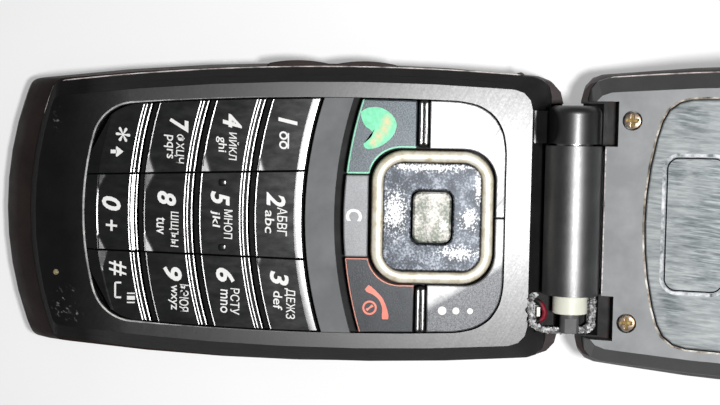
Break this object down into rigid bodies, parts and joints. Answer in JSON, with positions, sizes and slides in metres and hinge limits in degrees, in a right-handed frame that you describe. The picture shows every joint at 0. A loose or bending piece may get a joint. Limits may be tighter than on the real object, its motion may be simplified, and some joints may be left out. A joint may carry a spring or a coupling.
{
  "type": "clamshell mobile phone",
  "caption": "Opened clamshell mobile phone with arched number keys, navigation key and a lid on a barrel hinge with a broken knuckle.",
  "frame": {"origin": "centre of the flat back of the keypad half, on the battery cover, halfway between bottom end and hinge axis", "axes": "+X to the phone's right, +Y from the bottom end to the hinge and lid, +Z out of the keypad"},
  "size_m": [0.0472, 0.1713, 0.0394],
  "materials": {
    "front_plastic": "satin, worn",
    "shell_plastic": "satin",
    "key_black": "gloss",
    "key_grey": "metallic grey gloss",
    "key_call": "dark metallic grey gloss",
    "strip_grey": "satin",
    "bright_trim": "bright",
    "nav_rim": "satin metallic cream",
    "nav_silver": "metallic mirror, worn",
    "silicone": "matt",
    "rubber_black": "matt",
    "sheet_steel": "bright",
    "circuit_board": "green lacquer",
    "cell": "satin",
    "contact_brass": "gold plated",
    "sound_units": "matt",
    "steel": "turned",
    "weight_metal": "sintered",
    "bush_plastic": "satin",
    "ribbon": "amber film",
    "lead_red": "satin",
    "lens_plastic": "gloss, scratched",
    "display_dark": "gloss"
  },
  "bodies": {
    "base": {"front_cover": "front_plastic", "rear_cover": "shell_plastic", "keypad_strip": "strip_grey", "key_separators": "bright_trim", "keymat": "silicone", "dome_sheet": "sheet_steel", "main_board": "circuit_board", "rf_shield": "sheet_steel", "battery": "cell", "battery_contacts": "contact_brass", "sim_holder": "sheet_steel", "microphone": "sound_units", "loudspeaker": "sound_units", "vibration_motor": "steel", "data_connector": "sheet_steel", "antenna": "contact_brass", "base_screws": "steel", "hinge_shaft": "steel", "hinge_bush": "bush_plastic", "hinge_pin": "steel", "base_flex": "ribbon", "hinge_lead": "lead_red"},
    "lid": {"lid_inner_cover": "front_plastic", "lid_outer_cover": "shell_plastic", "hinge_barrel": "front_plastic", "hinge_can": "steel", "hinge_spring": "steel", "display_lens": "lens_plastic", "display_module": "display_dark", "lid_board": "circuit_board", "earpiece": "sound_units", "lid_flex": "ribbon", "lid_screws": "steel", "lid_bumpers": "rubber_black", "outer_window": "display_dark"},
    "battery_cover": {"battery_cover": "shell_plastic"},
    "motor_weight": {"vibration_weight": "weight_metal"},
    "key_1": {"key_1": "key_black"},
    "key_2": {"key_2": "key_black"},
    "key_3": {"key_3": "key_black"},
    "key_4": {"key_4": "key_black"},
    "key_5": {"key_5": "key_black"},
    "key_6": {"key_6": "key_black"},
    "key_7": {"key_7": "key_black"},
    "key_8": {"key_8": "key_black"},
    "key_9": {"key_9": "key_black"},
    "key_star": {"key_star": "key_black"},
    "key_0": {"key_0": "key_black"},
    "key_hash": {"key_hash": "key_black"},
    "send_key": {"send_key": "key_call"},
    "end_key": {"end_key": "key_call"},
    "clear_key": {"clear_key": "key_grey"},
    "soft_key_left": {"soft_key_left": "key_grey"},
    "soft_key_right": {"soft_key_right": "key_grey"},
    "nav_pusher": {"nav_pusher": "silicone"},
    "nav_key": {"nav_plate": "nav_silver", "nav_ring": "nav_rim"},
    "ok_key": {"ok_key": "nav_silver"},
    "volume_key": {"volume_key": "shell_plastic"},
    "socket_cover": {"socket_cover": "shell_plastic"}
  },
  "joints": [
    {"name": "lid_hinge", "type": "hinge", "parent": "base", "child": "lid", "pos_m": [0, 0.04375, 0.0114], "axis": [1, 0, 0], "range_deg": [0, 160]},
    {"name": "key_1_press", "type": "slide", "parent": "base", "child": "key_1", "axis": [0, 0, -1], "range_m": [0, 0.0003], "stiffness_N_per_m": 800},
    {"name": "key_2_press", "type": "slide", "parent": "base", "child": "key_2", "axis": [0, 0, -1], "range_m": [0, 0.0003], "stiffness_N_per_m": 800},
    {"name": "key_3_press", "type": "slide", "parent": "base", "child": "key_3", "axis": [0, 0, -1], "range_m": [0, 0.0003], "stiffness_N_per_m": 800},
    {"name": "key_4_press", "type": "slide", "parent": "base", "child": "key_4", "axis": [0, 0, -1], "range_m": [0, 0.0003], "stiffness_N_per_m": 800},
    {"name": "key_5_press", "type": "slide", "parent": "base", "child": "key_5", "axis": [0, 0, -1], "range_m": [0, 0.0003], "stiffness_N_per_m": 800},
    {"name": "key_6_press", "type": "slide", "parent": "base", "child": "key_6", "axis": [0, 0, -1], "range_m": [0, 0.0003], "stiffness_N_per_m": 800},
    {"name": "key_7_press", "type": "slide", "parent": "base", "child": "key_7", "axis": [0, 0, -1], "range_m": [0, 0.0003], "stiffness_N_per_m": 800},
    {"name": "key_8_press", "type": "slide", "parent": "base", "child": "key_8", "axis": [0, 0, -1], "range_m": [0, 0.0003], "stiffness_N_per_m": 800},
    {"name": "key_9_press", "type": "slide", "parent": "base", "child": "key_9", "axis": [0, 0, -1], "range_m": [0, 0.0003], "stiffness_N_per_m": 800},
    {"name": "key_star_press", "type": "slide", "parent": "base", "child": "key_star", "axis": [0, 0, -1], "range_m": [0, 0.0003], "stiffness_N_per_m": 800},
    {"name": "key_0_press", "type": "slide", "parent": "base", "child": "key_0", "axis": [0, 0, -1], "range_m": [0, 0.0003], "stiffness_N_per_m": 800},
    {"name": "key_hash_press", "type": "slide", "parent": "base", "child": "key_hash", "axis": [0, 0, -1], "range_m": [0, 0.0003], "stiffness_N_per_m": 800},
    {"name": "send_key_press", "type": "slide", "parent": "base", "child": "send_key", "axis": [0, 0, -1], "range_m": [0, 0.0003], "stiffness_N_per_m": 800},
    {"name": "end_key_press", "type": "slide", "parent": "base", "child": "end_key", "axis": [0, 0, -1], "range_m": [0, 0.0003], "stiffness_N_per_m": 800},
    {"name": "clear_key_press", "type": "slide", "parent": "base", "child": "clear_key", "axis": [0, 0, -1], "range_m": [0, 0.0003], "stiffness_N_per_m": 800},
    {"name": "soft_key_left_press", "type": "slide", "parent": "base", "child": "soft_key_left", "axis": [0, 0, -1], "range_m": [0, 0.0003], "stiffness_N_per_m": 800},
    {"name": "soft_key_right_press", "type": "slide", "parent": "base", "child": "soft_key_right", "axis": [0, 0, -1], "range_m": [0, 0.0003], "stiffness_N_per_m": 800},
    {"name": "ok_key_press", "type": "slide", "parent": "base", "child": "ok_key", "axis": [0, 0, -1], "range_m": [0, 0.0003], "stiffness_N_per_m": 800},
    {"name": "nav_rock_along", "type": "hinge", "parent": "base", "child": "nav_pusher", "pos_m": [0, 0.02265, 0.0088], "axis": [1, 0, 0], "range_deg": [-1.8, 1.8], "stiffness_Nm_per_rad": 0.12},
    {"name": "nav_rock_across", "type": "hinge", "parent": "nav_pusher", "child": "nav_key", "pos_m": [0, 0.02265, 0.0092], "axis": [0, 1, 0], "range_deg": [-1.8, 1.8], "stiffness_Nm_per_rad": 0.12},
    {"name": "volume_rock", "type": "hinge", "parent": "base", "child": "volume_key", "pos_m": [-0.0216, 0.00725, 0.0066], "axis": [0, 0, 1], "range_deg": [-2, 2], "stiffness_Nm_per_rad": 0.1},
    {"name": "socket_cover_turn", "type": "hinge", "parent": "base", "child": "socket_cover", "pos_m": [-0.0216, 0.03595, 0.0066], "axis": [0, 0, -1], "range_deg": [0, 90]},
    {"name": "battery_cover_slide", "type": "slide", "parent": "base", "child": "battery_cover", "axis": [0, -1, 0], "range_m": [0, 0.062]},
    {"name": "motor_spin", "type": "hinge", "parent": "base", "child": "motor_weight", "pos_m": [-0.0055, 0.02775, 0.0033], "axis": [1, 0, 0], "continuous": true}
  ]
}
